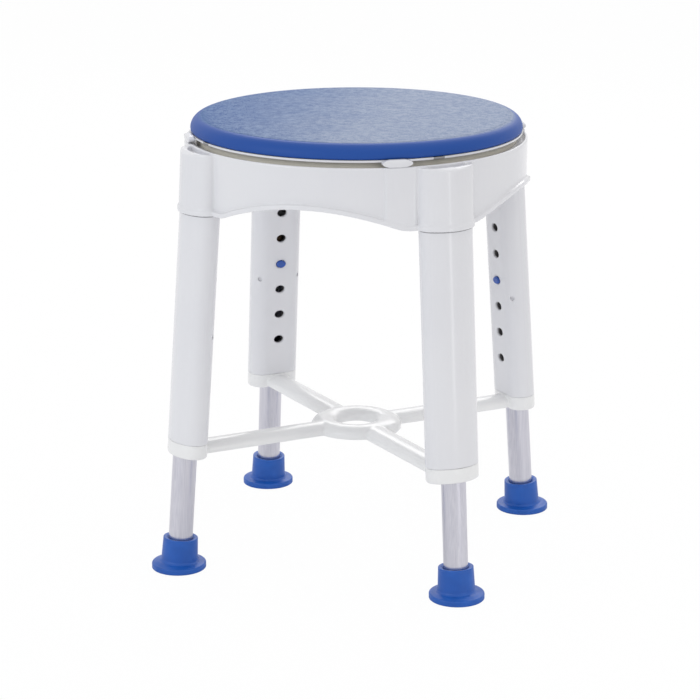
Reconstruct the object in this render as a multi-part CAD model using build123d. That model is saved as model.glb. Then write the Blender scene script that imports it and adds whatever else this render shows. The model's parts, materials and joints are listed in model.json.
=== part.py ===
from build123d import *
import math
import os

# Shower stool: a padded round seat that swivels on a moulded frame, on four splayed legs.
# Each leg is an aluminium tube that slides in a plastic sleeve and locks with a snap button.
# Millimetres, +Z up. The origin is on the floor, under the axis of the seat.
# Leg pieces are drawn in the leg's own plane: its Z runs up the tube from the floor,
# its X points away from the seat's axis and its Y runs around the stool.

# ---------------------------------------------------------------- overall sizes
ring_radius = 179.5        # outside of the frame's round wall
rim_height = 448.6         # top of the frame's wall above the floor
lean_slope = 0.0529        # how far a leg leans in, along X and along Y, for each mm of height
corner_angle = 43.56       # direction of the front right and back right sockets from the X axis

# ---------------------------------------------------------------- clearances
slip = 0.06                # round running fits, on the radius
seat_gap = 0.05            # between pieces that are fixed to each other
glide_gap = 0.10           # between faces that slide on each other
soft_gap = 0.30            # around soft pieces
screw_clear = 0.2          # around screws where they pass freely
button_gap = 0.2           # around the snap buttons in their oval holes
past = 1.0                 # how far a cut or a join runs past the face that it starts from

# ---------------------------------------------------------------- leg tube and its fittings
tube_diameter = 25.4
tube_wall = 1.2
tube_start = 8.0           # end of the tube, along the leg from the floor
tube_past_button = 33.0    # length of tube above its button hole
cap_depth = 14.0
cap_wall = 2.45
cap_head = 4.0
cap_chamfer = 1.0
washer_thickness = 2.0
washer_hole = 4.0

# ---------------------------------------------------------------- foot
foot_radius = 28.75
foot_flange = 6.2
foot_height = 33.5
foot_flange_round = 1.6
foot_flange_chamfer = 0.5
foot_wall_top = 5.6
foot_wall_bottom = 6.6
foot_rim_round = 0.6
foot_flare = 3.6           # reach of the hollow curve between flange and cup
foot_sink = 1.0            # how deep that curve starts in the flange
foot_mouth = 2.4           # depth of the funnel at the mouth
foot_mouth_rim = 1.4       # rubber left around the funnel
tread_depth = 1.2
tread_radii = (14.0, 20.0)
tread_width = 2.4

# ---------------------------------------------------------------- sleeve
sleeve_width = 58.0
sleeve_inner_wall = 4.5    # from the bore to the flat face with the holes
sleeve_outer_wall = 3.5    # from the bore to the crown of the outer face
sleeve_inner_corner = 15.8
sleeve_outer_corner = 13.2
sleeve_skin = 2.6
sleeve_start = 141.1       # lower end of the sleeve, along the leg
bore_gap = 0.5             # between tube and sleeve, where the liner and the cap guide the tube
bore_wall = 2.6
hole_width = 11.5          # the oval holes: around the leg and along it
hole_length = 8.6
hole_pitch = 30.0
hole_count = 6
lowest_hole = 41.6         # above the lower end of the sleeve
rest_hole = 3              # the hole that the button is in, counted up from the lowest
hole_rim = 0.6
dimple_diameter = 5.0
dimple_depth = 2.2
dimple_height = 115.0      # above the lower end of the sleeve
dimple_turn = 42.0         # direction that the dimples face, away from the inner face

# ---------------------------------------------------------------- liner, snap button and spring
liner_wall = 1.85
liner_length = 37.0
button_proud = 2.6
button_crown = 1.6
button_stem = 1.5
spring_width = 10.0
button_seat = 1.3          # from the tube's inside to the button's shoulder
rivet_head = 2.6
rivet_head_height = 0.7
spring_strip = 0.8
spring_flat = 6.0          # straight part of the strip, each way from the button
spring_bend = 1.6          # half the width of the bend
spring_far_gap = 1.4
spring_drop = 38.0         # from the button down to the bend
spring_return = 26.0       # from the bend up the far side

# ---------------------------------------------------------------- brace
collar_height = 16.0
arm_width = 28.5
arm_height = 11.8
arm_side = 3.2             # upright lower part of the arms' and the ring's sides
brace_ring_outer = 48.8
brace_ring_hole = 20.3
brace_ring_rise = 0.8      # how much higher the ring stands than the arms
brace_drop = 1.0           # how much lower the arms are than the middle of the collars
brace_wall = 2.6
collar_round = 2.2
collar_sink = 2.4          # how deep the screw heads sit in the collar
screw_inset = 6.4          # collar screws, in from the sleeve's sides
screw_post = 4.6           # radius of the posts that they go into
screw_in_sleeve = 13.0

# ---------------------------------------------------------------- frame
frame_depth = 64.6         # from the rim down to the lower end of the sockets
frame_wall = 3.0
arch_rise = 21.0           # how far the wall's lower edge rises between the sockets
arch_margin = 8.7          # level part between an arch and the socket's side
arch_shoulder = 88.0       # half the width of the arch's round crown
arch_shoulder_drop = 17.65
rim_round = 1.2
ledge_top = 4.0            # below the rim
ledge_thickness = 2.6
ledge_width = 13.5         # from the inside of the wall
lip_height = 5.0
lip_proud = 3.7
socket_offset = 0.57       # leg axis outside the wall's outer face, halfway up the socket
socket_skin_top = 2.3
socket_skin_bottom = 1.3
socket_lip = 1.3
socket_spare = 20.0        # how far its outside is drawn past both ends before it is trimmed
socket_step = 1.6          # top of the sockets below the rim
socket_slope = 0.33        # fall of their top for each mm outwards
socket_slope_start = 11.0  # outside the wall, where that fall begins
recess_depth = 5.5
recess_inset = 5.5         # how much smaller the recess is than the sleeve, all round
pocket_gap = 0.15          # around the sleeve in its socket
roof_above_deck = 5.0
sleeve_screw_spread = 8.0
sleeve_screw_drop = 20.0   # below the upper end of the sleeve
sleeve_screw_stop = 0.8    # sleeve left between the screw's tip and the bore
sleeve_below_deck = 1.0
screw_pad = 3.2            # thickness of the pads under the screw heads
screw_pad_rim = 1.0        # and how far they show around the heads
deck_below_rim = 17.6
deck_thickness = 3.0
rib_thickness = 3.2
rib_depth = 19.0
hub_radius = 24.0
hub_depth = 27.0
panel_proud = 2.2
panel_width = 32.5
panel_round = 1.9
panel_turn = 1.0           # how far the panels stand nearer to their sockets than the clips

# ---------------------------------------------------------------- seat clips
clip_angle = 30.0          # direction of the first of four, a quarter turn apart
clip_width = 31.0
clip_height = 7.4
clip_bow = 8.6             # height of the oval that its head is cut from
clip_round = 3.4
clip_stem = 3.3
clip_stem_width = 17.0
clip_slot_gap = 0.6
clip_side_gap = 0.6
clip_screw_rise = 6.5      # above the deck
clip_screw_stop = 1.2      # panel left in front of the screw's tip

# ---------------------------------------------------------------- seat
lip_side_gap = 2.1         # between the seat's edge and the inside of the frame's wall
pan_thickness = 2.4
pan_above_rim = 4.1
pan_skirt = 14.0           # from the pan's edge in to its skirt
pan_skirt_wall = 3.0
pan_skirt_depth = 10.0
pan_rib = 2.5
pan_rib_count = 4          # ribs right across the pan
pan_rib_short = 0.5        # how much less the ribs reach down than the skirt
pan_boss_radius = 26.0
pad_foot_round = 2.2       # radius along the pad's lower edge
pad_shoulder_width = 12.6  # from the pad's edge in to its textured top
pad_shoulder_height = 12.5
pad_crown = 1.4
pan_round = 0.8

# ---------------------------------------------------------------- swivel
glide_inset = 29.5         # from the outside of the frame's wall
glide_width = 10.0
glide_height = 7.1
glide_groove = 1.0
edge_ring_inset = 6.0      # from the pan's edge
edge_ring_width = 4.5
runner_inset = 1.0         # how much narrower the pan's runner is, each side
bolt_diameter = 12.0
bolt_head_flats = 19.0
bolt_head_height = 7.5
bush_wall = 3.0
bush_flange = 20.0
pivot_washer_radius = 14.0
pivot_washer_thickness = 2.4
pivot_washer_clear = 0.3
nut_height = 12.0
bolt_past_nut = 3.0
bolt_chamfer = 1.0

# ---------------------------------------------------------------- screws
screw_diameter = 4.0
screw_head_radius = 3.6
screw_head_height = 2.2
screw_bite = 0.35          # thread depth, left out of the shanks and their holes

# ---------------------------------------------------------------- values that follow
tube_radius = tube_diameter / 2
tube_inside = tube_radius - tube_wall
lean = math.atan(math.hypot(lean_slope, lean_slope))
socket_bottom = rim_height - frame_depth
socket_top = rim_height - socket_step
deck_top = rim_height - deck_below_rim
deck_bottom = deck_top - deck_thickness
inner_radius = ring_radius - frame_wall
socket_middle = rim_height - frame_depth / 2
socket_x = (ring_radius + socket_offset) * math.cos(math.radians(corner_angle))
socket_y = (ring_radius + socket_offset) * math.sin(math.radians(corner_angle))
foot_x = socket_x + lean_slope * socket_middle
foot_y = socket_y + lean_slope * socket_middle
bore_radius = tube_radius + bore_gap
sleeve_inner_face = bore_radius + sleeve_inner_wall
sleeve_outer_face = bore_radius + sleeve_outer_wall
screw_place = sleeve_width / 2 - screw_inset
foot_top_radius = tube_radius + foot_wall_top
foot_bottom_radius = tube_radius + foot_wall_bottom
glide_radius = ring_radius - glide_inset
liner_outer = tube_radius + slip + liner_wall
button_height = sleeve_start + lowest_hole + rest_hole * hole_pitch
tube_end = button_height + tube_past_button
sleeve_end = (deck_top - sleeve_below_deck) / math.cos(lean)
pan_bottom = rim_height + pan_above_rim
pan_top = pan_bottom + pan_thickness
pan_radius = inner_radius - lip_side_gap
pad_radius = pan_radius
pad_bottom = pan_top + soft_gap
glide_top = deck_top - glide_groove + glide_height
ledge_height = rim_height - ledge_top
edge_ring_radius = pan_radius - edge_ring_inset
hub_bottom = deck_top - hub_depth
collar_start = sleeve_start - collar_height
collar_middle = (collar_start + collar_height / 2) * math.cos(lean)
panel_radius = ring_radius + panel_proud
arch_half = socket_x - sleeve_width / 2 * math.sin(math.radians(45)) - arch_margin
clip_screw_height = deck_top + clip_screw_rise
clip_screw_tip = panel_radius - clip_screw_stop
screw_core = screw_diameter / 2 - screw_bite
screw_tip = -bore_radius - sleeve_screw_stop
far = 2 * ring_radius      # longer than anything it cuts

corners = {
    "front_left": (-1, -1),
    "front_right": (1, -1),
    "back_right": (1, 1),
    "back_left": (-1, 1),
}


# ---------------------------------------------------------------- helpers
def leg_plane(side_x, side_y):
    """The plane of one leg: origin at its foot, Z up the tube, X away from the seat's axis."""
    up = Vector(-side_x * lean_slope, -side_y * lean_slope, 1).normalized()
    out = Vector(side_x, side_y, 0).normalized()
    out = (out - up * out.dot(up)).normalized()
    return Plane(origin=(side_x * foot_x, side_y * foot_y, 0), x_dir=out, z_dir=up)


def at_leg(shape, corner):
    """A piece drawn in the leg's plane, moved to one corner of the stool."""
    return leg_plane(*corners[corner]).location * shape


def rod(radius, start, end):
    """A round bar along Z."""
    return Pos(0, 0, start) * Cylinder(radius, end - start, align=(Align.CENTER, Align.CENTER, Align.MIN))


def pipe(outer, inner, start, end):
    """A round tube along Z."""
    return rod(outer, start, end) - rod(inner, start - past, end + past)


def cross_rod(radius, start, end, along, height):
    """A round bar along X, at a given Y and height."""
    bar = Cylinder(radius, end - start, align=(Align.CENTER, Align.CENTER, Align.MIN))
    return Pos(start, along, height) * Rot(0, 90, 0) * bar


def cross_oval(grow, start, end, height):
    """A bar along X with the section of the adjustment holes, grown or shrunk."""
    face = Plane.YZ * Ellipse(hole_width / 2 + grow, hole_length / 2 + grow)
    return Pos(start, 0, height) * extrude(face, end - start)


def slab(bottom, top):
    """Everything between two heights."""
    space = Box(2 * far, 2 * far, top - bottom, align=(Align.CENTER, Align.CENTER, Align.MIN))
    return Pos(0, 0, bottom) * space


def hexagon(flats, start, end):
    """A hexagonal bar along Z."""
    return Pos(0, 0, start) * extrude(RegularPolygon(flats / 2, 6, major_radius=False), end - start)


def write(name, shape):
    """One STEP file for one sub-part."""
    solids = shape.solids()
    shape = solids[0] if len(solids) == 1 else Compound(children=list(solids))
    shape.label = name
    export_step(shape, f"parts/{name}.step")


# ---------------------------------------------------------------- sleeve section
def sleeve_face(grow):
    """The sleeve's section, grown or shrunk all round: flat inside, rounded sides, bowed outside."""
    half = sleeve_width / 2
    side_x = sleeve_inner_corner - sleeve_inner_face
    flat = half - sleeve_inner_corner
    reach = sleeve_outer_face - side_x
    shoulder = half - sleeve_outer_corner
    bow = (reach**2 + shoulder**2 - sleeve_outer_corner**2) / (2 * (reach - sleeve_outer_corner))
    bow_x = sleeve_outer_face - bow
    turn = math.degrees(math.atan2(shoulder, side_x - bow_x))
    with BuildSketch() as section:
        with BuildLine():
            Line((-sleeve_inner_face - grow, -flat), (-sleeve_inner_face - grow, flat))
            CenterArc((side_x, flat), sleeve_inner_corner + grow, 180, -90)
            CenterArc((side_x, shoulder), sleeve_outer_corner + grow, 90, turn - 90)
            CenterArc((bow_x, 0), bow + grow, turn, -2 * turn)
            CenterArc((side_x, -shoulder), sleeve_outer_corner + grow, -turn, turn - 90)
            CenterArc((side_x, -flat), sleeve_inner_corner + grow, -90, -90)
        make_face()
    return section.sketch


def sleeve_bar(grow, start, end):
    """A bar with the sleeve's section."""
    return Pos(0, 0, start) * extrude(sleeve_face(grow), end - start)


def hole_heights():
    """Heights of the adjustment holes along the leg, from the lowest up."""
    return [sleeve_start + lowest_hole + n * hole_pitch for n in range(hole_count)]


def screw_bosses(radius, start, end):
    """Two round posts, one each side of the tube."""
    post = rod(radius, start, end)
    return Pos(0, screw_place, 0) * post + Pos(0, -screw_place, 0) * post


# ---------------------------------------------------------------- leg pieces
def leg_sleeve():
    """Moulded outer leg: tube bore in the middle, a hollow each side, holes on the inner face."""
    liner_top = collar_start + brace_wall + liner_length
    body = sleeve_bar(0, sleeve_start, sleeve_end)
    hollow = sleeve_bar(-sleeve_skin, sleeve_start - past, sleeve_end + past)
    hollow -= rod(bore_radius + bore_wall, sleeve_start - 2 * past, sleeve_end + 2 * past)
    hollow -= screw_bosses(screw_post, sleeve_start - 2 * past, liner_top)
    body -= hollow
    body -= rod(bore_radius, sleeve_start - past, sleeve_end + past)
    body -= rod(liner_outer + seat_gap, sleeve_start - past, liner_top + seat_gap)
    body -= screw_bosses(screw_core, sleeve_start - past, sleeve_start + screw_in_sleeve + past)
    for along, height in socket_screw_places():
        body -= cross_rod(screw_core, -sleeve_inner_face - past, screw_tip, along, height)
    for height in hole_heights():
        body -= cross_oval(0, -sleeve_inner_face - past, -tube_radius / 2, height)
        body -= cross_oval(hole_rim, -sleeve_inner_face - past, -sleeve_inner_face + hole_rim, height)
    dimple = cross_rod(dimple_diameter / 2, -far, dimple_depth - sleeve_inner_corner, 0, 0)
    for side in (-1, 1):
        centre = (sleeve_inner_corner - sleeve_inner_face, side * (sleeve_width / 2 - sleeve_inner_corner))
        place = Pos(*centre, sleeve_start + dimple_height)
        body -= place * Rot(0, 0, -side * dimple_turn) * dimple
    return body


def sleeve_liner():
    """Guide bush for the tube, held between the collar's floor and a shoulder in the sleeve."""
    start = collar_start + brace_wall
    return pipe(liner_outer, tube_radius + slip, start + seat_gap, start + liner_length)


def leg_tube():
    """Aluminium tube with a row of holes that match the sleeve's, the top one for the snap button."""
    body = pipe(tube_radius, tube_inside, tube_start, tube_end)
    for n in range(rest_hole + 1):
        body -= cross_oval(0, -tube_radius - past, -tube_radius / 2, button_height - n * hole_pitch)
    return body


def tube_cap():
    """Plug in the upper end of the tube, which guides it in the sleeve's bore."""
    plug = rod(tube_inside - seat_gap, tube_end - cap_depth, tube_end + past)
    head = rod(bore_radius - slip, tube_end + seat_gap, tube_end + cap_head)
    head = chamfer(head.edges().sort_by(Axis.Z)[-1], cap_chamfer)
    hollow = rod(tube_inside - seat_gap - cap_wall, tube_end - cap_depth - past, tube_end)
    return plug + head - hollow


def snap_button():
    """Oval button with a domed end, riveted to the spring's strip."""
    shoulder = tube_inside - button_seat
    rivet = shoulder - spring_strip - 2 * seat_gap
    tip = sleeve_inner_face + button_proud
    body = cross_oval(-button_gap, -tip, -shoulder, 0)
    body = fillet(body.edges().sort_by(Axis.X)[0], button_crown)
    body += cross_rod(button_stem, -shoulder, -rivet, 0, 0)
    body += cross_rod(rivet_head, -rivet, rivet_head_height - rivet, 0, 0)
    return Pos(0, 0, button_height) * body


def snap_spring():
    """Steel strip bent to a narrow V, with the button at one end."""
    near = tube_inside - button_seat - seat_gap
    near_middle = spring_strip / 2 - near
    far_middle = tube_inside - spring_far_gap - spring_strip / 2
    bend = button_height - spring_drop
    with BuildSketch(Plane.XZ) as strip:
        with BuildLine():
            path = Polyline(
                (near_middle, button_height + spring_flat),
                (near_middle, button_height - spring_flat),
                (-spring_bend, bend),
                (spring_bend, bend),
                (far_middle, bend + spring_return - spring_flat),
                (far_middle, bend + spring_return),
            )
            offset(path, amount=spring_strip / 2, side=Side.BOTH)
        make_face()
    body = extrude(strip.sketch, spring_width / 2, both=True)
    return body - cross_rod(button_stem + seat_gap, -tube_radius, -near / 2, 0, button_height)


def foot_washer():
    """Steel disc that keeps the tube from cutting through the foot."""
    return pipe(tube_radius, washer_hole, tube_start - washer_thickness - seat_gap, tube_start - seat_gap)


def foot():
    """Cup of a rubber foot, still solid, which leans with the tube."""
    below = -foot_flange
    middle = foot_flare * (1 - math.sqrt(0.5))
    start = (foot_bottom_radius + foot_flare, foot_flange - foot_sink)
    bend = (foot_bottom_radius, foot_flange + foot_flare)
    with BuildSketch(Plane.XZ) as half:
        with BuildLine():
            Polyline((0, below), (foot_bottom_radius + foot_flare, below), start)
            ThreePointArc(start, (foot_bottom_radius + middle, foot_flange + middle), bend)
            Polyline(bend, (foot_top_radius, foot_height), (0, foot_height), (0, below))
        make_face()
    cup = revolve(half.sketch, Axis.Z)
    return fillet(cup.edges().sort_by(Axis.Z)[-1], foot_rim_round)


def foot_bore():
    """Bore for the tube and its washer, with a funnel at the mouth."""
    bore = rod(tube_radius + seat_gap, tube_start - washer_thickness - 2 * seat_gap, foot_height + past)
    mouth = Cone(tube_radius + seat_gap, foot_top_radius - foot_mouth_rim, foot_mouth)
    return bore + Pos(0, 0, foot_height - foot_mouth / 2) * mouth


def foot_flange_disc():
    """Level flange of a foot, at the stool's origin."""
    disc = rod(foot_radius, 0, foot_flange)
    disc = fillet(disc.edges().sort_by(Axis.Z)[-1], foot_flange_round)
    disc = chamfer(disc.edges().sort_by(Axis.Z)[0], foot_flange_chamfer)
    for radius in tread_radii:
        disc -= pipe(radius + tread_width, radius, -past, tread_depth)
    return disc


def make_foot(corner):
    """Cup and flange joined and cut off level at the floor."""
    side_x, side_y = corners[corner]
    cup = at_leg(foot(), corner) - slab(-foot_height, tread_depth)
    cup += Pos(side_x * foot_x, side_y * foot_y, 0) * foot_flange_disc()
    return cup - at_leg(foot_bore(), corner)


# ---------------------------------------------------------------- brace
def brace_section(width, height, wall):
    """Half-round section of the brace above its bottom edge, drawn inside a wall."""
    half = width / 2 - wall
    below = -past if wall else 0
    with BuildSketch(Plane.XZ) as section:
        with BuildLine():
            Polyline((-half, arm_side), (-half, below), (half, below), (half, arm_side))
            EllipticalCenterArc((0, arm_side), half, height - arm_side - wall, start_angle=0, arc_size=180)
        make_face()
    return section.sketch


def brace_ring(wall):
    """The ring in the middle of the brace, or the space that is left inside its wall."""
    middle = (brace_ring_outer + brace_ring_hole) / 2
    width = brace_ring_outer - brace_ring_hole
    return revolve(Pos(middle, 0, 0) * brace_section(width, arm_height + brace_ring_rise, wall), Axis.Z)


def brace_arm(length, wall):
    """An arm along X that starts under the ring, or the space that is left inside its wall."""
    middle = (brace_ring_outer + brace_ring_hole) / 2
    arm = extrude(Rot(0, 0, 90) * brace_section(arm_width, arm_height, wall), length)
    low = arm.bounding_box().min.X
    return Pos(middle - low, 0, 0) * arm


def cross_brace():
    """One moulding: a ring in the middle and four arms, hollow below, and a collar around each tube."""
    bottom = collar_middle - brace_drop - arm_height / 2
    reach_x = foot_x - lean_slope * collar_middle
    reach_y = foot_y - lean_slope * collar_middle
    reach = math.hypot(reach_x, reach_y) - (brace_ring_outer + brace_ring_hole) / 2
    hollow = reach - sleeve_inner_face - 2 * brace_wall
    turns = [math.degrees(math.atan2(y * reach_y, x * reach_x)) for x, y in corners.values()]
    body = brace_ring(0)
    for turn in turns:
        body += Rot(0, 0, turn) * brace_arm(reach, 0)
    body -= brace_ring(brace_wall)
    for turn in turns:
        body -= Rot(0, 0, turn) * brace_arm(hollow, brace_wall)
    body = Pos(0, 0, bottom) * body
    for corner in corners:
        collar = sleeve_bar(0, collar_start, sleeve_start - seat_gap)
        collar = fillet(collar.faces().sort_by(Axis.Z)[0].edges(), collar_round)
        body += at_leg(collar, corner)
    for corner in corners:
        end = sleeve_start + past
        head_start = collar_start - past
        cut = rod(bore_radius, collar_start - arm_height, end)
        cut += rod(liner_outer + seat_gap, collar_start + brace_wall, end)
        cut += screw_bosses(screw_diameter / 2 + screw_clear, head_start, end)
        cut += screw_bosses(screw_head_radius + screw_clear, head_start, collar_start + collar_sink)
        body -= at_leg(cut, corner)
    return body


def brace_screws():
    """Screws that go up through the collars into the sleeves."""
    seat = collar_start + collar_sink - seat_gap
    screw = rod(screw_head_radius, seat - screw_head_height, seat)
    screw += rod(screw_core - seat_gap, seat, sleeve_start + screw_in_sleeve)
    pair = [Pos(0, side * screw_place, 0) * screw for side in (-1, 1)]
    return Compound(children=[at_leg(piece, corner) for corner in corners for piece in pair])


# ---------------------------------------------------------------- frame
def arch_space(lift):
    """What lies under the arch at the front of the frame's wall, raised by a lift."""
    base = socket_bottom + lift
    top = base + arch_rise
    shoulder = (arch_shoulder, top - arch_shoulder_drop)
    bend = (arch_shoulder**2 + arch_shoulder_drop**2) / (2 * arch_shoulder_drop)
    turn = math.asin(arch_shoulder / bend)
    side = socket_x
    with BuildSketch(Plane.XZ) as space:
        with BuildLine():
            Polyline((-arch_half, base), (-side, base), (-side, 0), (side, 0))
            Polyline((side, 0), (side, base), (arch_half, base))
            Spline((arch_half, base), shoulder, tangents=((-1, 0), (-math.cos(turn), math.sin(turn))))
            ThreePointArc(shoulder, (0, top), (-shoulder[0], shoulder[1]))
            Spline(
                (-shoulder[0], shoulder[1]),
                (-arch_half, base),
                tangents=((-math.cos(turn), -math.sin(turn)), (-1, 0)),
            )
        make_face()
    return extrude(space.sketch, far)


def around(shape, first_angle=0):
    """Four copies of a shape, a quarter turn apart."""
    return [Rot(0, 0, first_angle + 90 * n) * shape for n in range(4)]


def sector(outer, inner, bottom, top, width):
    """A piece of a round wall across the X axis."""
    span = Pos(0, 0, bottom) * Box(far, width, top - bottom, align=(Align.MIN, Align.CENTER, Align.MIN))
    return pipe(outer, inner, bottom, top) & span


def frame_wall_solid():
    """The round wall, with a panel beside each socket and a lip along the arches."""
    wall = pipe(ring_radius, inner_radius, socket_bottom, rim_height)
    wall = fillet(wall.edges().group_by(Axis.Z)[-1], rim_round)
    ledge_inner = inner_radius - ledge_width
    wall += pipe(inner_radius + past, ledge_inner, ledge_height - ledge_thickness, ledge_height)
    panel = sector(panel_radius, ring_radius - past, socket_bottom, rim_height, panel_width)
    panel = fillet(panel.edges().filter_by(Axis.Z).sort_by(Axis.X)[-2:], panel_round)
    lip_top = socket_bottom + arch_rise + lip_height
    lip = pipe(ring_radius + lip_proud, ring_radius - past, socket_bottom, lip_top)
    for piece in around(panel, clip_angle + panel_turn):
        wall += piece
    for space in around(arch_space(lip_height)):
        wall += lip & space
    for space in around(arch_space(0)):
        wall -= space
    return wall


def socket_column():
    """The outside of a socket, which widens towards the top."""
    start = socket_bottom / math.cos(lean) - socket_spare
    end = rim_height / math.cos(lean) + socket_spare
    spread = (socket_skin_top - socket_skin_bottom) / frame_depth * socket_spare
    lower = Pos(0, 0, start) * sleeve_face(socket_skin_bottom - spread)
    upper = Pos(0, 0, end) * sleeve_face(socket_skin_top + spread)
    return loft([lower, upper], ruled=True)


def socket_space():
    """The room that the sockets fill outside the wall, under a top that falls outwards."""
    start = ring_radius + socket_slope_start
    end = start + sleeve_width
    low = socket_top - socket_slope * (end - start)
    with BuildSketch(Plane.XZ) as outline:
        with BuildLine():
            Polyline((ring_radius - past, socket_bottom), (ring_radius - past, socket_top))
            Polyline((ring_radius - past, socket_top), (start, socket_top), (end, low))
            Polyline((end, low), (end, socket_bottom), (ring_radius - past, socket_bottom))
        make_face()
    return revolve(outline.sketch, Axis.Z)


def socket_screw_places():
    """(Y, height) of the two screws that hold a sleeve in its socket."""
    return [(side * sleeve_screw_spread, sleeve_end - sleeve_screw_drop) for side in (-1, 1)]


def frame():
    """Round wall, sockets, deck, ribs and hub in one moulding."""
    body = frame_wall_solid()
    body += rod(inner_radius + past, deck_bottom, deck_top)
    for side in (-1, 1):
        rib = Box(2 * inner_radius, rib_thickness, rib_depth, align=(Align.CENTER, Align.CENTER, Align.MAX))
        body += Pos(0, 0, deck_top - past) * Rot(0, 0, side * corner_angle) * rib
    body += rod(hub_radius, hub_bottom, deck_top)
    outside = socket_space()
    for corner in corners:
        column = at_leg(socket_column(), corner)
        band = at_leg(sleeve_bar(socket_skin_bottom + socket_lip, 0, rim_height), corner)
        body += column & slab(socket_bottom, deck_top + roof_above_deck)
        body += column & outside
        body += band & slab(socket_bottom, socket_bottom + lip_height)
        for along, height in socket_screw_places():
            start = -sleeve_inner_face - screw_pad
            pad = cross_rod(screw_head_radius + screw_pad_rim, start, -sleeve_inner_face, along, height)
            body += at_leg(pad, corner)
    for corner in corners:
        body -= at_leg(sleeve_bar(pocket_gap, 0, sleeve_end + 2 * pocket_gap), corner)
        recess = at_leg(sleeve_bar(-recess_inset, 0, 2 * rim_height), corner)
        recess &= slab(socket_top - recess_depth, rim_height + past)
        body -= recess - rod(ring_radius, 0, 2 * rim_height)
        for along, height in socket_screw_places():
            clear = cross_rod(screw_diameter / 2 + screw_clear, -2 * sleeve_inner_face, 0, along, height)
            body -= at_leg(clear, corner)
    body -= rod(bolt_diameter / 2 + slip + bush_wall + seat_gap, hub_bottom - past, deck_top + past)
    inner_edge = glide_radius - glide_width
    body -= pipe(glide_radius + seat_gap, inner_edge - seat_gap, deck_top - glide_groove, deck_top + past)
    pilot = cross_rod(screw_core, 0, clip_screw_tip, 0, clip_screw_height)
    stem = inner_radius - clip_stem - clip_slot_gap
    slot = sector(inner_radius, stem, deck_top, rim_height, clip_stem_width + 2 * clip_slot_gap)
    for hole in around(pilot + slot, clip_angle):
        body -= hole
    return body


def sleeve_screws():
    """Screws that hold the sleeves in the sockets, from inside the frame."""
    screws = []
    seat = sleeve_inner_face + screw_pad + seat_gap
    for corner in corners:
        for along, height in socket_screw_places():
            screw = cross_rod(screw_head_radius, -seat - screw_head_height, -seat, along, height)
            screw += cross_rod(screw_core - seat_gap, -seat - past, screw_tip, along, height)
            screws.append(at_leg(screw, corner))
    return Compound(children=screws)


# ---------------------------------------------------------------- seat clips
def seat_clip():
    """Clip that guides the edge of the seat, drawn across the X axis."""
    stem_in = inner_radius - clip_stem
    stem_out = inner_radius - seat_gap
    nose = pan_radius + clip_side_gap
    foot_z = deck_top + soft_gap
    base = rim_height + seat_gap
    top = base + clip_height
    with BuildSketch(Plane.XZ) as outline:
        with BuildLine():
            Polyline((stem_in, foot_z), (stem_out, foot_z), (stem_out, base), (panel_radius, base))
            Line((panel_radius, base), (panel_radius, top - clip_round))
            CenterArc((panel_radius - clip_round, top - clip_round), clip_round, 0, 90)
            Polyline((panel_radius - clip_round, top), (nose, top), (nose, base - past))
            Polyline((nose, base - past), (stem_in, base - past), (stem_in, foot_z))
        make_face()
    hook = revolve(outline.sketch, Axis.Z, 360)
    middle = (base + top) / 2
    with BuildSketch(Plane.YZ) as face:
        with Locations((0, middle)):
            Ellipse(clip_width / 2, clip_bow / 2)
        with Locations((0, foot_z)):
            Rectangle(clip_stem_width, middle - foot_z, align=(Align.CENTER, Align.MIN))
    hook &= extrude(face.sketch, far)
    hole = cross_rod(screw_diameter / 2 + screw_clear, 0, far, 0, clip_screw_height)
    return hook - hole


def clip_screws():
    """Screws that hold the clips to the frame's wall."""
    seat = inner_radius - clip_stem - seat_gap
    screw = cross_rod(screw_head_radius, seat - screw_head_height, seat, 0, clip_screw_height)
    screw += cross_rod(screw_core - seat_gap, seat - past, clip_screw_tip, 0, clip_screw_height)
    return Compound(children=around(screw, clip_angle))


# ---------------------------------------------------------------- seat
def seat_pan():
    """Moulded disc under the pad, with a skirt, ribs, a runner and a boss for the bolt."""
    runner_bottom = glide_top + glide_gap
    skirt_outer = pan_radius - pan_skirt
    pan = rod(pan_radius, pan_bottom, pan_top)
    pan = fillet(pan.edges().group_by(Axis.Z)[0], pan_round)
    runner_outer = glide_radius - runner_inset
    runner_inner = glide_radius - glide_width + runner_inset
    skirt_bottom = pan_bottom - pan_skirt_depth
    pan += pipe(skirt_outer, skirt_outer - pan_skirt_wall, skirt_bottom, pan_bottom + past)
    pan += pipe(runner_outer, runner_inner, runner_bottom, pan_bottom + past)
    pan += rod(pan_boss_radius, runner_bottom, pan_bottom + past)
    rib_top = pan_bottom + pan_thickness / 2
    rib_size = (2 * (skirt_outer - past), pan_rib, rib_top - skirt_bottom - pan_rib_short)
    rib = Box(*rib_size, align=(Align.CENTER, Align.CENTER, Align.MAX))
    for n in range(pan_rib_count):
        pan += Pos(0, 0, rib_top) * Rot(0, 0, 180 / pan_rib_count * (n + 0.5)) * rib
    pan -= rod(bolt_diameter / 2 + seat_gap, runner_bottom - past, pan_top + past)
    pan -= hexagon(bolt_head_flats + 2 * seat_gap, pan_top - bolt_head_height - seat_gap, pan_top + past)
    return pan


def seat_pad():
    """Foam pad: round lower edge, a wide round shoulder and a slightly crowned top."""
    side = pad_bottom + pad_foot_round
    foot = pad_radius - pad_foot_round
    shoulder = pad_radius - pad_shoulder_width
    top = side + pad_shoulder_height
    with BuildSketch(Plane.XZ) as outline:
        with BuildLine():
            Polyline((0, top + pad_crown), (0, pad_bottom), (foot, pad_bottom))
            CenterArc((foot, side), pad_foot_round, -90, 90)
            centre = (shoulder, side)
            EllipticalCenterArc(centre, pad_shoulder_width, pad_shoulder_height, start_angle=0, arc_size=90)
            Line((shoulder, top), (0, top + pad_crown))
        make_face()
    return revolve(outline.sketch, Axis.Z)


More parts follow.
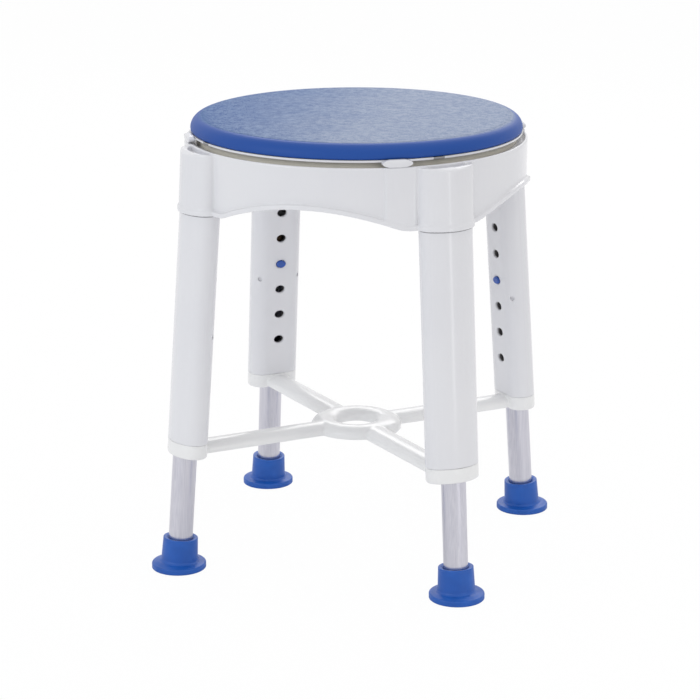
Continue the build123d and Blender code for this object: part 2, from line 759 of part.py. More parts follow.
# ---------------------------------------------------------------- swivel
def edge_ring():
    """Slippery ring under the pan's edge, which turns on the ledge inside the frame's wall."""
    inner = edge_ring_radius - edge_ring_width
    return pipe(edge_ring_radius, inner, ledge_height + glide_gap, pan_bottom - seat_gap)


def glide_ring():
    """Slippery ring in the deck's groove, which carries the seat."""
    return pipe(glide_radius, glide_radius - glide_width, deck_top - glide_groove + seat_gap, glide_top)


def hub_bush():
    """Flanged bush in the frame's hub, around the bolt."""
    bore = bolt_diameter / 2 + slip
    bush = rod(bore + bush_wall, hub_bottom, deck_top + past)
    bush += rod(bush_flange, deck_top + seat_gap, glide_top)
    return bush - rod(bore, hub_bottom - past, glide_top + past)


def pivot_bolt():
    """Hexagon bolt, with its head let into the pan under the pad."""
    head = hexagon(bolt_head_flats, pan_top - bolt_head_height, pan_top)
    end = hub_bottom - 2 * seat_gap - pivot_washer_thickness - nut_height - bolt_past_nut
    shank = rod(bolt_diameter / 2, end, pan_top - past)
    shank = chamfer(shank.edges().sort_by(Axis.Z)[0], bolt_chamfer)
    return head + shank


def pivot_washer():
    """Washer under the hub."""
    top = hub_bottom - seat_gap
    hole = bolt_diameter / 2 + pivot_washer_clear
    return pipe(pivot_washer_radius, hole, top - pivot_washer_thickness, top)


def pivot_nut():
    """Lock nut on the end of the bolt."""
    top = hub_bottom - 2 * seat_gap - pivot_washer_thickness
    nut = hexagon(bolt_head_flats, top - nut_height, top)
    return nut - rod(bolt_diameter / 2 + seat_gap, top - nut_height - past, top + past)


# ---------------------------------------------------------------- write every sub-part
os.makedirs("parts", exist_ok=True)

leg_pieces = {
    "leg_sleeve": leg_sleeve(),
    "sleeve_liner": sleeve_liner(),
    "leg_tube": leg_tube(),
    "tube_cap": tube_cap(),
    "snap_button": snap_button(),
    "snap_spring": snap_spring(),
    "foot_washer": foot_washer(),
}
for corner in corners:
    for name, piece in leg_pieces.items():
        write(f"{name}_{corner}", at_leg(piece, corner))
    write(f"foot_{corner}", make_foot(corner))

for number, clip in enumerate(around(seat_clip(), clip_angle), start=1):
    write(f"seat_clip_{number}", clip)

write("frame", frame())
write("sleeve_screws", sleeve_screws())
write("clip_screws", clip_screws())
write("cross_brace", cross_brace())
write("brace_screws", brace_screws())
write("seat_pan", seat_pan())
write("seat_pad", seat_pad())
write("edge_ring", edge_ring())
write("glide_ring", glide_ring())
write("hub_bush", hub_bush())
write("pivot_bolt", pivot_bolt())
write("pivot_washer", pivot_washer())
write("pivot_nut", pivot_nut())
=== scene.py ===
import json
import math
import bmesh
import bpy
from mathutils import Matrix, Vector


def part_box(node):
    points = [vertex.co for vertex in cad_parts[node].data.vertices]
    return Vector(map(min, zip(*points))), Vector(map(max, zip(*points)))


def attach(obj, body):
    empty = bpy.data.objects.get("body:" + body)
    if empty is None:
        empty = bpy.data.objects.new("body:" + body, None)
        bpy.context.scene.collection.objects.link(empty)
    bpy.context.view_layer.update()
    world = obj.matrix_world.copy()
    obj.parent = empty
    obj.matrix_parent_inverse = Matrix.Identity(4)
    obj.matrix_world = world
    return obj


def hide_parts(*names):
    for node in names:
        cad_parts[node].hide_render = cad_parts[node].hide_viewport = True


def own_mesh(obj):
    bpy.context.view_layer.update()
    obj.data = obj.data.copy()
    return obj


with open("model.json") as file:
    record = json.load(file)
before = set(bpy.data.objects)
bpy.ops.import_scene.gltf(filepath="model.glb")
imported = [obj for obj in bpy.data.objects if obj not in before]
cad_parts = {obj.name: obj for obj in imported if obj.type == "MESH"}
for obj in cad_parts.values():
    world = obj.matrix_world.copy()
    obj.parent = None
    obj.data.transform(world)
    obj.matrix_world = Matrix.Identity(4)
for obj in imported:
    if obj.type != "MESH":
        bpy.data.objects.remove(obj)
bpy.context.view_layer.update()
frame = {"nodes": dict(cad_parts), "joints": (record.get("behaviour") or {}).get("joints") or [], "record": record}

# Shower stool: padded round seat that swivels on a white moulded frame, on four splayed legs.
# Metres, +Z up, the origin on the floor under the axis of the seat.
legNames = ("front_right", "back_right", "back_left", "front_left")
joints = {joint["name"]: joint for joint in frame["joints"]}
print("frame loaded:", len(frame["nodes"]), "nodes")


# small tools
levelRise = 0.9          # a face is level when its normal rises or falls by more than this
mergeDistance = 0.000001


def srgb(red, green, blue):
    # a colour as a picker shows it, 0 to 255, turned into the linear values that shaders take
    def linear(value):
        value = value / 255
        return value / 12.92 if value <= 0.04045 else ((value + 0.055) / 1.055) ** 2.4
    return (linear(red), linear(green), linear(blue), 1.0)


def makeActive(piece):
    bpy.ops.object.select_all(action="DESELECT")
    piece.select_set(True)
    bpy.context.view_layer.objects.active = piece


def startEdit(piece):
    makeActive(piece)
    bpy.ops.object.mode_set(mode="EDIT")
    bpy.ops.mesh.select_mode(type="FACE")
    bpy.ops.mesh.select_all(action="DESELECT")


def endEdit():
    bpy.ops.object.mode_set(mode="OBJECT")


def pickFaces(piece, test):
    # selects the faces whose centre and normal pass the test
    mesh = bmesh.from_edit_mesh(piece.data)
    for face in mesh.faces:
        face.select_set(test(face.calc_center_median(), face.normal))
    mesh.select_flush_mode()
    bmesh.update_edit_mesh(piece.data)


def pickVerts(piece, test):
    # selects the points that pass the test
    bpy.ops.mesh.select_mode(type="VERT")
    bpy.ops.mesh.select_all(action="DESELECT")
    mesh = bmesh.from_edit_mesh(piece.data)
    for vert in mesh.verts:
        vert.select_set(test(vert.co))
    mesh.select_flush_mode()
    bmesh.update_edit_mesh(piece.data)


def mergePoints():
    # joins points that lie together, all over the piece
    bpy.ops.mesh.select_all(action="SELECT")
    bpy.ops.mesh.remove_doubles(threshold=mergeDistance)


def stepRings(steps):
    # goes on from the selected cap: each step goes inwards and along the cap's normal
    for inward, along in steps:
        if inward > 0:
            bpy.ops.mesh.inset(thickness=inward, depth=along)
        else:
            bpy.ops.mesh.extrude_region_shrink_fatten(TRANSFORM_OT_shrink_fatten={"value": along})


def applyModifier(piece, kind, **settings):
    # adds a modifier with its settings and applies it at once
    makeActive(piece)
    modifier = piece.modifiers.new(kind.lower(), kind)
    for setting, value in settings.items():
        setattr(modifier, setting, value)
    bpy.ops.object.modifier_apply(modifier=modifier.name)


def smoothByAngle(piece, degrees=35):
    makeActive(piece)
    bpy.ops.object.shade_smooth_by_angle(angle=math.radians(degrees))


def closeShape(piece, angle):
    # turns every face outwards and smooths all but the edges sharper than the angle
    bpy.ops.mesh.select_all(action="SELECT")
    bpy.ops.mesh.normals_make_consistent(inside=False)
    endEdit()
    smoothByAngle(piece, angle)


def applyPlace(piece):
    makeActive(piece)
    bpy.ops.object.transform_apply(location=True, rotation=True, scale=True)


def aimFrom(thing, place, aim):
    # stands a lamp or the camera at its place, turned towards a point
    bpy.context.scene.collection.objects.link(thing)
    thing.location = place
    thing.rotation_euler = (Vector(aim) - Vector(place)).to_track_quat("-Z", "Y").to_euler()


def copyPiece(piece, name):
    twin = bpy.data.objects.new(name, piece.data.copy())
    bpy.context.scene.collection.objects.link(twin)
    return twin


def paint(piece, material):
    piece.data.materials.clear()
    piece.data.materials.append(material)


# shader expressions
class Wire:
    # a node's output that can stand in a sum, a product or a comparison
    def __init__(self, tree, socket):
        self.tree = tree
        self.socket = socket

    def maths(self, operation, *values):
        made = self.tree.nodes.new("ShaderNodeMath")
        made.operation = operation
        for place, value in zip(made.inputs, values):
            if isinstance(value, Wire):
                self.tree.links.new(value.socket, place)
            else:
                place.default_value = value
        return Wire(self.tree, made.outputs[0])

    def __add__(self, other):
        return self.maths("ADD", self, other)

    def __radd__(self, other):
        return self.maths("ADD", other, self)

    def __sub__(self, other):
        return self.maths("SUBTRACT", self, other)

    def __rsub__(self, other):
        return self.maths("SUBTRACT", other, self)

    def __mul__(self, other):
        return self.maths("MULTIPLY", self, other)

    def __rmul__(self, other):
        return self.maths("MULTIPLY", other, self)

    def __pow__(self, other):
        return self.maths("POWER", self, other)

    def over(self, other):
        return self.maths("DIVIDE", self, other)

    def size(self):
        return self.maths("ABSOLUTE", self)

    def atLeast(self, limit):
        return self.maths("MAXIMUM", self, limit)

    def atMost(self, limit):
        return self.maths("MINIMUM", self, limit)

    def between(self, low, high):
        # 0 below low, 1 above high and a straight rise between them
        share = (self - low) * (1 / (high - low))
        return share.atLeast(0.0).atMost(1.0)


class NodeTree:
    # a tree, and the one way to add a node to it
    def __init__(self, tree):
        self.tree = tree

    def node(self, kind, settings=None, output=0, sockets=None, **values):
        # the settings are set first, then each socket's value or link, by its name or number
        made = self.tree.nodes.new(kind)
        for setting, value in (settings or {}).items():
            setattr(made, setting, value)
        for socket, value in {**(sockets or {}), **values}.items():
            if isinstance(value, Wire):
                self.tree.links.new(value.socket, made.inputs[socket])
            else:
                made.inputs[socket].default_value = value
        return Wire(self.tree, made.outputs[output])


class Finish(NodeTree):
    # one material: its tree, its shader and the object's coordinates
    def __init__(self, name, **constants):
        self.material = bpy.data.materials.new(name)
        self.material.use_nodes = True
        super().__init__(self.material.node_tree)
        self.shader = self.tree.nodes["Principled BSDF"]
        for socket, value in constants.items():
            self.shader.inputs[socket.replace("_", " ")].default_value = value
        self.place = self.node("ShaderNodeTexCoord", output="Object")

    def coordinates(self):
        # the object's coordinates as three numbers: across, along and up
        parts = self.node("ShaderNodeSeparateXYZ", Vector=self.place).socket.node
        return [Wire(self.tree, socket) for socket in parts.outputs]

    def noise(self, scale, detail=2.0, vector=None, roughness=0.5):
        spot = self.place if vector is None else vector
        return self.node("ShaderNodeTexNoise", Scale=scale, Detail=detail, Roughness=roughness, Vector=spot)

    def stretched(self, scale):
        # the object's coordinates, drawn out along an axis
        return self.node("ShaderNodeMapping", Vector=self.place, Scale=scale)

    def mix(self, share, first, second):
        # two colours mixed: on this node they are sockets 6 and 7, and the result is output 2
        return self.node("ShaderNodeMix", {"data_type": "RGBA"}, 2, {0: share, 6: first, 7: second})

    def link(self, socket, wire):
        self.tree.links.new(wire.socket, self.shader.inputs[socket])

    def bump(self, height, distance, strength, normal=None):
        under = {} if normal is None else {"Normal": normal}
        return self.node("ShaderNodeBump", Height=height, Distance=distance, Strength=strength, **under)


# finishes
plasticLook = {
    "index": 1.49,
    "tint": (228, 228, 231),
    "shade": (224, 224, 228),
    # the brace's copy is lighter than the rest: painted light that makes up for the shade under the seat
    "braceLitTint": (238, 238, 238),
    "braceLitShade": (234, 234, 234),
    "cloudScale": 7.0,
    "cloudBand": (0.35, 0.65),
    "roughness": 0.17,
    "roughnessRange": 0.04,
    "smearScale": 30.0,
    "peelScale": 500.0,
    "peelDepth": 0.00001,
    "peelStrength": 0.5,
    "edgeRound": 0.0007,
}
# a dark line under the sockets, where the socket meets the sleeve: a painted shadow of the seam gap
jointGapShadow = {"bottom": 0.3826, "top": 0.3842, "fade": 0.0004, "tint": (96, 96, 100), "share": 0.8}
# the walls deep in the sleeves' holes are painted dark: painted shade
holeWallShade = {
    "wall": (0.0152, 0.0167),
    "back": (0.0, 0.004),
    "halfWidth": (0.0061, 0.0065),
    "tint": (40, 32, 26),
    "share": 0.85,
}


def holeShade(across, along, height):
    # 1 on the walls of the sleeves' holes, where painted shade goes; all four legs lean alike, so one formula
    # serves them
    low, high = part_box("foot_front_left")
    start = math.hypot((low.x + high.x) / 2, (low.y + high.y) / 2)
    slide = joints["leg_slide_front_left"]["axis"]
    rise = abs(slide[2])
    lean = math.hypot(slide[0], slide[1]) / rise
    outward = (across.size() + along.size()) * math.sqrt(0.5)
    aside = ((across.size() - along.size()) * math.sqrt(0.5)).size()
    inward = (start - height * lean - outward) * rise
    deep = (1 - inward.between(*holeWallShade["wall"])) * inward.between(*holeWallShade["back"])
    return deep * (1 - aside.between(*holeWallShade["halfWidth"]))


def paintJointAndHoleShade(finish, base):
    # painted shadow in the seam under the sockets, and painted shade deep in the sleeves' holes
    across, along, height = finish.coordinates()
    low, high, fade = jointGapShadow["bottom"], jointGapShadow["top"], jointGapShadow["fade"]
    line = height.between(low, low + fade) - height.between(high, high + fade)
    base = finish.mix(line * jointGapShadow["share"], base, srgb(*jointGapShadow["tint"]))
    return finish.mix(holeShade(across, along, height) * holeWallShade["share"], base, srgb(*holeWallShade["tint"]))


def whitePlastic(name, tint="tint", shade="shade", ownEdges=False):
    # glossy moulded polypropylene: faint clouding, fine orange peel; CAD shapes get soft edges and painted shade
    # in seam and holes
    look = plasticLook
    finish = Finish(name, IOR=look["index"])
    clouding = finish.noise(look["cloudScale"], 3.0).between(*look["cloudBand"])
    base = finish.mix(clouding, srgb(*look[tint]), srgb(*look[shade]))
    finish.link("Base Color", base if ownEdges else paintJointAndHoleShade(finish, base))
    smear = finish.noise(look["smearScale"], 2.0)
    finish.link("Roughness", look["roughness"] + smear * look["roughnessRange"])
    edges = None if ownEdges else finish.node("ShaderNodeBevel", {"samples": 4}, Radius=look["edgeRound"])
    peel = finish.noise(look["peelScale"], 1.0)
    finish.link("Normal", finish.bump(peel, look["peelDepth"], look["peelStrength"], edges))
    return finish.material


rubberLook = {
    "index": 1.48,
    "tint": (20, 90, 182),
    "shade": (16, 82, 170),
    "cloudScale": 60.0,
    "cloudBand": (0.3, 0.7),
    "roughness": 0.36,
    "roughnessRange": 0.12,
    "smearScale": 220.0,
    "grainScale": 2500.0,
    "grainDepth": 0.00003,
    "grainStrength": 0.5,
}


def blueRubber():
    # satin rubber with a very fine matt grain
    look = rubberLook
    finish = Finish("blueRubber", IOR=look["index"])
    clouding = finish.noise(look["cloudScale"], 3.0).between(*look["cloudBand"])
    finish.link("Base Color", finish.mix(clouding, srgb(*look["tint"]), srgb(*look["shade"])))
    smear = finish.noise(look["smearScale"], 2.0)
    finish.link("Roughness", look["roughness"] + smear * look["roughnessRange"])
    grain = finish.noise(look["grainScale"], 2.0)
    finish.link("Normal", finish.bump(grain, look["grainDepth"], look["grainStrength"]))
    return finish.material


padLook = {
    "index": 1.30,
    "side": (34, 78, 157),
    "deepValley": (30, 72, 138),
    "deepPeak": (98, 128, 172),
    "valley": (66, 98, 148),
    "peak": (154, 166, 188),
    "sheenTint": (166, 174, 192),
    "sheenTintShare": 0.35,
    "panelRadius": 0.1622,
    "panelFade": 0.0010,
    "sideReach": 0.22,
    "sideFade": 0.14,
    "grainScale": 760.0,
    "grainShare": 0.66,
    "blotchScale": 130.0,
    "blotchShare": 0.34,
    "speckBand": (0.41, 0.58),
    "driftScale": 14.0,
    "driftShare": 0.5,
    "sheenAcross": 5.2,
    "sheenAlong": 0.6,
    "sheenLevel": 0.62,
    "roughness": 0.46,
    "topRoughness": 0.2,
    "grainDepth": 0.0004,
    "grainStrength": 0.8,
}


def padSkin():
    # integral skin foam: smooth and saturated round the edge, finely pebbled on top
    look = padLook
    finish = Finish("padSkin", IOR=look["index"])
    across, along = finish.coordinates()[:2]
    distance = (across * across + along * along) ** 0.5
    # the textured top is crisp in front, and reaches softly over the shoulder at both sides, a painted sheen there
    bulge = across * across
    inside = bulge * look["sideReach"] + look["panelRadius"] - distance
    panel = inside.over(bulge * look["sideFade"] + look["panelFade"]).between(0.0, 1.0)
    # a fine pebble, lighter in blotches, and paler towards one side, which is painted sheen
    grain = finish.noise(look["grainScale"], 3.0, roughness=0.7)
    blotch = finish.noise(look["blotchScale"], 3.0, roughness=0.6)
    drift = finish.noise(look["driftScale"], 2.0) * look["driftShare"]
    sheen = drift + across * look["sheenAcross"] + along * look["sheenAlong"] + look["sheenLevel"]
    sheen = sheen.between(0.0, 1.0)
    speck = (grain * look["grainShare"] + blotch * look["blotchShare"]).between(*look["speckBand"])
    deep = finish.mix(speck, srgb(*look["deepValley"]), srgb(*look["deepPeak"]))
    sheenSpeck = finish.mix(speck, srgb(*look["valley"]), srgb(*look["peak"]))
    # painted sheen: the paler side mixes the specks towards a pale sheen tint
    top = finish.mix(sheen, deep, finish.mix(sheen * look["sheenTintShare"], sheenSpeck, srgb(*look["sheenTint"])))
    finish.link("Base Color", finish.mix(panel, srgb(*look["side"]), top))
    finish.link("Roughness", look["roughness"] + panel * look["topRoughness"])
    finish.link("Normal", finish.bump(grain * panel, look["grainDepth"], look["grainStrength"]))
    return finish.material


tubeLook = {
    "tint": (214, 213, 220),
    "shade": (196, 195, 205),
    "paintedEndShade": (44, 34, 26),
    "belowButton": 0.012,
    "roughness": 0.25,
    "roughnessRange": 0.08,
    "lineScale": (900.0, 900.0, 12.0),
    "lineBand": (0.3, 0.7),
    "lineDepth": 0.00001,
    "lineStrength": 0.4,
}


def anodisedTube():
    # drawn aluminium, satin anodised: fine lines along it; the end inside the sleeve is painted dark, painted
    # shade seen through the holes
    look = tubeLook
    finish = Finish("anodisedTube", Metallic=1.0)
    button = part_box("snap_button_front_left")[0].z
    height = finish.coordinates()[2]
    # painted shade: dark from the button upwards, fading in over the length below it
    paintedEndShade = height.between(button - look["belowButton"], button)
    lines = finish.noise(1.0, 4.0, finish.stretched(look["lineScale"]), 0.6)
    tint = finish.mix(lines.between(*look["lineBand"]), srgb(*look["tint"]), srgb(*look["shade"]))
    finish.link("Base Color", finish.mix(paintedEndShade, tint, srgb(*look["paintedEndShade"])))
    finish.link("Roughness", look["roughness"] + lines * look["roughnessRange"])
    finish.link("Normal", finish.bump(lines, look["lineDepth"], look["lineStrength"]))
    return finish.material


steelLook = {
    "tint": (196, 197, 200),
    "shade": (172, 174, 180),
    "mottleScale": 300.0,
    "mottleBand": (0.3, 0.7),
    "roughness": 0.28,
    "roughnessRange": 0.14,
}


def platedSteel():
    # zinc plate: a little mottled
    look = steelLook
    finish = Finish("platedSteel", Metallic=1.0)
    mottle = finish.noise(look["mottleScale"], 3.0).between(*look["mottleBand"])
    finish.link("Base Color", finish.mix(mottle, srgb(*look["tint"]), srgb(*look["shade"])))
    finish.link("Roughness", look["roughness"] + mottle * look["roughnessRange"])
    return finish.material


mottledPlastics = {
    "bearingPlastic": {   # natural acetal: creamy white with a soft lustre
        "index": 1.48,
        "tint": (228, 224, 210),
        "shade": (220, 216, 202),
        "mottleScale": 80.0,
        "roughness": 0.34,
        "roughnessRange": 0.1,
    },
    "bluePlastic": {      # glossy buttons
        "index": 1.5,
        "tint": (45, 88, 175),
        "shade": (38, 78, 160),
        "mottleScale": 400.0,
        "roughness": 0.2,
        "roughnessRange": 0.1,
    },
}


def mottledPlastic(name):
    look = mottledPlastics[name]
    finish = Finish(name, IOR=look["index"])
    mottle = finish.noise(look["mottleScale"], 2.0)
    finish.link("Base Color", finish.mix(mottle, srgb(*look["tint"]), srgb(*look["shade"])))
    finish.link("Roughness", look["roughness"] + mottle * look["roughnessRange"])
    return finish.material


edgeRingLook = {
    "index": 1.46,
    "low": (218, 213, 200),
    "high": (122, 120, 113),
    "from": 0.4475,
    "to": 0.4540,
    "waveScale": 60.0,
    "wave": 0.0012,
    "roughness": 0.5,
    "underLipShadeRoughness": 0.2,
}


def edgeRingPlastic():
    # the ring under the lip: its upper part is painted darker, a painted shade under the lip's overhang
    look = edgeRingLook
    finish = Finish("edgeRingPlastic", IOR=look["index"])
    height = finish.coordinates()[2]
    level = height + finish.noise(look["waveScale"], 3.0) * look["wave"] - look["wave"] / 2
    # painted shade: darker towards the top, with a wavy edge
    underLipShade = level.between(look["from"], look["to"])
    finish.link("Base Color", finish.mix(underLipShade, srgb(*look["low"]), srgb(*look["high"])))
    finish.link("Roughness", look["roughness"] + underLipShade * look["underLipShadeRoughness"])
    return finish.material


finishes = {
    "white": whitePlastic("whitePlastic"),
    "moulding": whitePlastic("whiteMoulding", ownEdges=True),
    # a lighter copy of the white plastic: painted light for the brace in the seat's shade
    "brace": whitePlastic("whiteBrace", "braceLitTint", "braceLitShade", ownEdges=True),
    "edgeRing": edgeRingPlastic(),
    "rubber": blueRubber(),
    "pad": padSkin(),
    "tube": anodisedTube(),
    "steel": platedSteel(),
    "bearing": mottledPlastic("bearingPlastic"),
    "button": mottledPlastic("bluePlastic"),
}
finishOfSlot = {
    "white_plastic": "white",
    "blue_pad": "pad",
    "blue_rubber": "rubber",
    "blue_plastic": "button",
    "anodised_tube": "tube",
    "bearing_plastic": "bearing",
    "zinc_steel": "steel",
    "spring_steel": "steel",
}
finishOfNode = {"edge_ring": "edgeRing"}
for part in frame["record"]["subparts"]:
    node = frame["nodes"][part["node"]]
    for holder in node.material_slots:
        holder.material = finishes[finishOfNode.get(part["node"], finishOfSlot[part["material_slot"]])]
print("finishes made:", len(finishes))

# seat pad
padShape = {
    "sides": 192,
    "lowerRound": 0.0022,
    "lowerSteps": 3,
    "lowerHub": 0.45,
    "straight": 0.0004,
    "shoulderWidth": 0.0126,
    "shoulderHeight": 0.0121,
    "shoulderSteps": 14,
    "panelStep": 0.0002,
    "crown": 0.0014,
    "ringPitch": 0.0035,
    "smoothAngle": 50,
}


def arcSteps(width, height, count, fromFlat):
    # (inward, along) steps of a quarter ellipse, which starts flat or else upright
    steps = []
    for number in range(count):
        first, second = (math.pi / 2 * (number + shift) / count for shift in (0, 1))
        sines = math.sin(second) - math.sin(first)
        cosines = math.cos(first) - math.cos(second)
        steps.append((width * sines, height * cosines) if fromFlat else (width * cosines, height * sines))
    return steps


def evenSteps(width, height, count):
    # (inward, along) steps of a straight slope
    return [(width / count, height / count)] * count


def makePad():
    low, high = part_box("seat_pad")
    radius = (high.x - low.x) / 2
    shape = padShape
    bpy.ops.mesh.primitive_cylinder_add(
        vertices=shape["sides"], radius=radius, depth=shape["straight"],
        location=(0, 0, low.z + shape["lowerRound"] + shape["straight"] / 2),
    )
    pad = bpy.context.active_object
    pad.name = "padCushion"
    applyPlace(pad)
    startEdit(pad)
    pickFaces(pad, lambda centre, normal: normal.z < -levelRise)
    stepRings(arcSteps(shape["lowerRound"], shape["lowerRound"], shape["lowerSteps"], False))
    stepRings([(radius * shape["lowerHub"], 0.0)])
    bpy.ops.mesh.merge(type="CENTER")
    pickFaces(pad, lambda centre, normal: normal.z > levelRise)
    stepRings(arcSteps(shape["shoulderWidth"], shape["shoulderHeight"], shape["shoulderSteps"], False))
    stepRings([(shape["panelStep"], shape["panelStep"])])
    panel = radius - shape["shoulderWidth"] - shape["panelStep"]
    count = round(panel / shape["ringPitch"])
    rise = shape["crown"] - shape["panelStep"]
    for number in range(count - 1):
        outer, inner = (1 - (number + shift) / count for shift in (0, 1))
        stepRings([(panel / count, rise * (outer ** 2 - inner ** 2))])
    bpy.ops.mesh.merge(type="CENTER")
    closeShape(pad, shape["smoothAngle"])
    paint(pad, finishes["pad"])
    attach(pad, "seat")
    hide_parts("seat_pad")
    print("seat pad:", len(pad.data.polygons), "faces")


makePad()

# frame, brace and clips: CAD shapes with the soft edges and inner corners of a moulding
mouldings = {
    "frame": {"voxel": 0.0010, "passes": 4, "triangles": 190000, "finish": "moulding"},
    "cross_brace": {"voxel": 0.0010, "passes": 5, "triangles": 110000, "finish": "brace"},
    "seat_clip": {"voxel": 0.0004, "passes": 5, "triangles": 16000, "finish": "moulding"},
}
smoothing = 0.5


def makeMoulding(node, plan):
    piece = copyPiece(frame["nodes"][node], node + "_moulding")
    startEdit(piece)
    mergePoints()
    endEdit()
    voxel = plan["voxel"] * 1
    applyModifier(piece, "REMESH", mode="VOXEL", voxel_size=voxel)
    applyModifier(piece, "SMOOTH", factor=smoothing, iterations=plan["passes"])
    triangles = 2 * len(piece.data.polygons)
    if triangles > plan["triangles"]:
        applyModifier(piece, "DECIMATE", ratio=plan["triangles"] / triangles)
    bpy.ops.object.shade_smooth()
    paint(piece, finishes[plan["finish"]])
    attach(piece, "stand")
    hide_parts(node)
    print(node, "moulding:", len(piece.data.polygons), "faces")


for node in ("frame", "cross_brace"):
    makeMoulding(node, mouldings[node])
for number in range(1, 5):
    makeMoulding("seat_clip_" + str(number), mouldings["seat_clip"])

# feet
footShape = {
    "sides": 96,
    "flangeRadius": 0.02875,
    "flangeHeight": 0.0062,
    "flangeRound": 0.0016,
    "flangeRoundSteps": 5,
    "lowerEdge": 0.0005,
    "flangeSlope": 0.0012,
    "slopeSteps": 3,
    "flare": 0.0030,
    "flareSteps": 8,
    "cupRadius": 0.0193,
    "cupTopRadius": 0.0183,
    "cupHeight": 0.0335,
    "cupSteps": 8,
    "rimRound": 0.0006,
    "rimRoundSteps": 4,
    "rimFlat": 0.0008,
    "mouthDepth": 0.0024,
    "mouthSteps": 6,
    "boreRadius": 0.01275,
    "boreFloor": 0.0062,
    "boreSteps": 6,
    "hub": 0.5,
    "treads": ((0.0224, 0.0200), (0.0164, 0.0140)),
    "treadDepth": 0.0012,
    "treadWall": 0.0001,
    "smoothAngle": 40,
    "lean": 4.279,
    "leanFrom": (0.0063, 0.0072, 0.0082, 0.0095),
}


def makeFootShape():
    # one foot at the origin, whose cup leans towards +X while its flange lies level
    shape = footShape
    side = shape["flangeHeight"] - shape["flangeRound"] - shape["lowerEdge"]
    bpy.ops.mesh.primitive_cylinder_add(
        vertices=shape["sides"], radius=shape["flangeRadius"], depth=side,
        location=(0, 0, shape["lowerEdge"] + side / 2),
    )
    foot = bpy.context.active_object
    applyPlace(foot)
    startEdit(foot)
    pickFaces(foot, lambda centre, normal: normal.z < -levelRise)
    stepRings([(shape["lowerEdge"], shape["lowerEdge"])])
    radius = shape["flangeRadius"] - shape["lowerEdge"]
    wall = shape["treadWall"]
    for outer, inner in shape["treads"]:
        stepRings([(radius - outer, 0.0), (wall, -shape["treadDepth"])])
        stepRings([(outer - inner - 2 * wall, 0.0), (wall, shape["treadDepth"])])
        radius = inner
    stepRings([(radius * shape["hub"], 0.0)])
    bpy.ops.mesh.merge(type="CENTER")
    pickFaces(foot, lambda centre, normal: normal.z > levelRise and centre.z > shape["lowerEdge"])
    stepRings(arcSteps(shape["flangeRound"], shape["flangeRound"], shape["flangeRoundSteps"], False))
    slope = shape["flangeRadius"] - shape["flangeRound"] - shape["flare"] - shape["cupRadius"]
    stepRings(evenSteps(slope, shape["flangeSlope"], shape["slopeSteps"]))
    stepRings(arcSteps(shape["flare"], shape["flare"], shape["flareSteps"], True))
    wallHeight = shape["cupHeight"] - shape["rimRound"]
    wallHeight -= shape["flangeHeight"] + shape["flangeSlope"] + shape["flare"]
    taper = shape["cupRadius"] - shape["cupTopRadius"]
    stepRings(evenSteps(taper, wallHeight, shape["cupSteps"]))
    stepRings(arcSteps(shape["rimRound"], shape["rimRound"], shape["rimRoundSteps"], False))
    stepRings([(shape["rimFlat"], 0.0)])
    funnel = shape["cupTopRadius"] - shape["rimRound"] - shape["rimFlat"] - shape["boreRadius"]
    mouth = arcSteps(funnel, shape["mouthDepth"], shape["mouthSteps"], True)
    stepRings([(inward, -down) for inward, down in mouth])
    depth = shape["cupHeight"] - shape["mouthDepth"] - shape["boreFloor"]
    stepRings(evenSteps(0.0, -depth, shape["boreSteps"]))
    stepRings([(shape["boreRadius"] * shape["hub"], 0.0)])
    bpy.ops.mesh.merge(type="CENTER")
    for height in shape["leanFrom"]:
        pickVerts(foot, lambda spot: spot.z > height)
        turn = math.radians(shape["lean"]) / len(shape["leanFrom"])
        bpy.ops.transform.rotate(value=-turn, orient_axis="Y", center_override=(0, 0, 0))
    closeShape(foot, shape["smoothAngle"])
    return foot


def makeFeet():
    pattern = makeFootShape()
    for leg in legNames:
        node = "foot_" + leg
        low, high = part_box(node)
        foot = copyPiece(pattern, "rubberFoot_" + leg)
        x, y = (low.x + high.x) / 2, (low.y + high.y) / 2
        foot.location = (x, y, 0)
        # the cup leans towards the middle of the stool, along a diagonal
        foot.rotation_euler.z = math.atan2(-math.copysign(1, y), -math.copysign(1, x))
        applyPlace(foot)
        paint(foot, finishes["rubber"])
        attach(foot, "leg_" + leg)
        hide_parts(node)
    bpy.data.objects.remove(pattern)
    print("feet:", len(legNames))


makeFeet()


# springs behind the buttons: each is a smoothed copy of its CAD spring that rides with its leg
def makeSprings():
    for leg in legNames:
        node = "snap_spring_" + leg
        press = joints["button_press_" + leg]
        spring = copyPiece(frame["nodes"][node], "flexingSpring_" + leg)
        startEdit(spring)
        mergePoints()
        endEdit()
        smoothByAngle(spring)
        paint(spring, finishes["steel"])
        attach(spring, "leg_" + leg)
        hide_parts(node)
        inward = Vector(press["axis"]).normalized()
        depths = [inward.dot(vert.co) for vert in spring.data.vertices]
        back = max(range(len(depths)), key=depths.__getitem__)
        width = max(depths) - min(depths)
        travel = max(press["range_m"])
        1 - travel / width
        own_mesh(spring)
    print("springs:", len(legNames))


makeSprings()

# floor
floorLook = {"size": 40.0, "level": -0.0002, "tint": (246, 246, 247), "roughness": 0.9, "lift": 0.97}


def makeFloor():
    look = floorLook
    bpy.ops.mesh.primitive_plane_add(size=look["size"], location=(0, 0, look["level"]))
    floor = bpy.context.active_object
    floor.name = "floor"
    finish = Finish("floorPaper", Base_Color=srgb(*look["tint"]), Roughness=look["roughness"])
    # nearly clear to the camera: the white world shows through and the shadow is faint
    clear = finish.node("ShaderNodeLightPath", output="Is Camera Ray") * look["lift"]
    paper = Wire(finish.tree, finish.shader.outputs[0])
    nothing = finish.node("ShaderNodeBsdfTransparent")
    both = finish.node("ShaderNodeMixShader", sockets={0: clear, 1: paper, 2: nothing})
    finish.tree.links.new(both.socket, finish.tree.nodes["Material Output"].inputs["Surface"])
    paint(floor, finish.material)


makeFloor()

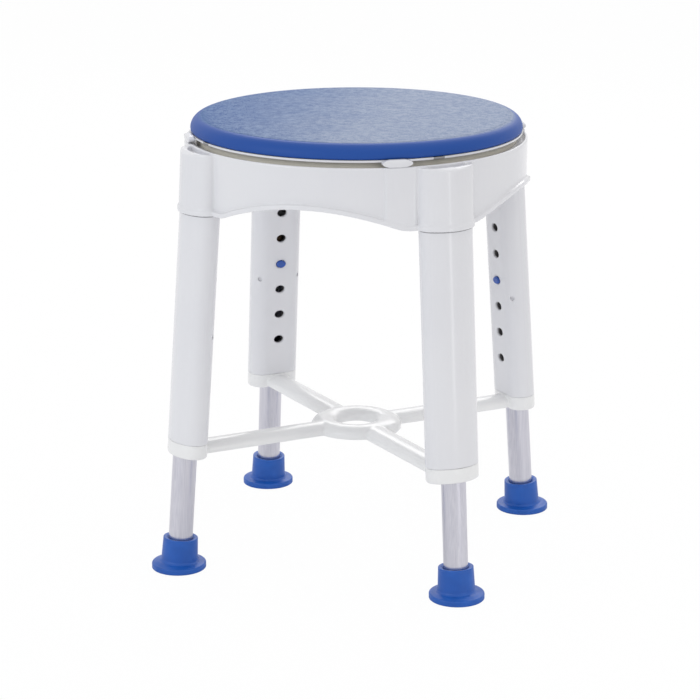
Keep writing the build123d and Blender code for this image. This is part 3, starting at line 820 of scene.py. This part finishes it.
# light
lightPlan = {
    "world": 0.765,
    "aim": (0, 0, 0.25),
    "lamps": {
        "key": {"place": (-1.2, -1.7, 1.1), "size": (0.9, 0.9), "power": 6.6, "tint": (0.86, 0.93, 1.0)},
        "top": {"place": (0.4, 0.2, 2.5), "size": (1.8, 1.8), "power": 6.0, "tint": (1.0, 0.99, 0.98)},
        "back": {"place": (-0.3, 2.4, 1.9), "size": (2.2, 1.2), "power": 22.0, "tint": (1.0, 0.99, 0.98)},
        "strip": {"place": (1.0, -0.66, 0.32), "size": (0.04, 0.60), "power": 0.6, "tint": (1.0, 1.0, 1.0)},
    },
}


def makeLights():
    world = bpy.data.worlds.new("studio")
    bpy.context.scene.world = world
    world.use_nodes = True
    sky = NodeTree(world.node_tree)
    shine = sky.tree.nodes["Background"]
    # plain white to the camera, in gloss and through glass, and dimmer as light on the stool
    camera = sky.node("ShaderNodeLightPath", output="Is Camera Ray")
    glossy = sky.node("ShaderNodeLightPath", output="Is Glossy Ray")
    through = sky.node("ShaderNodeLightPath", output="Is Transmission Ray")
    seen = (camera + glossy + through).atMost(1.0)
    level = seen * (1 - lightPlan["world"]) + lightPlan["world"]
    shine.inputs["Color"].default_value = (1, 1, 1, 1)
    sky.tree.links.new(level.socket, shine.inputs["Strength"])
    for name, plan in lightPlan["lamps"].items():
        data = bpy.data.lights.new(name, "AREA")
        data.shape = "RECTANGLE"
        data.size, data.size_y = plan["size"]
        data.energy = plan["power"]
        data.color = plan["tint"]
        lamp = bpy.data.objects.new(name, data)
        aimFrom(lamp, plan["place"], lightPlan["aim"])
        lamp.visible_camera = False


makeLights()

# camera
cameraPlan = {
    "lens": 127.15,
    "sensor": 36.0,
    "near": 0.05,
    "far": 30.0,
    "place": (0.74656, -2.45289, 0.93900),
    "aim": (-0.00659, -0.00202, 0.21234),
}


def makeCamera():
    data = bpy.data.cameras.new("camera")
    data.lens = cameraPlan["lens"]
    data.sensor_width = cameraPlan["sensor"]
    data.clip_start = cameraPlan["near"]
    data.clip_end = cameraPlan["far"]
    camera = bpy.data.objects.new("camera", data)
    aimFrom(camera, cameraPlan["place"], cameraPlan["aim"])
    bpy.context.scene.camera = camera


makeCamera()
bpy.context.scene.view_settings.view_transform = "Standard"
print("camera, floor and lights set")
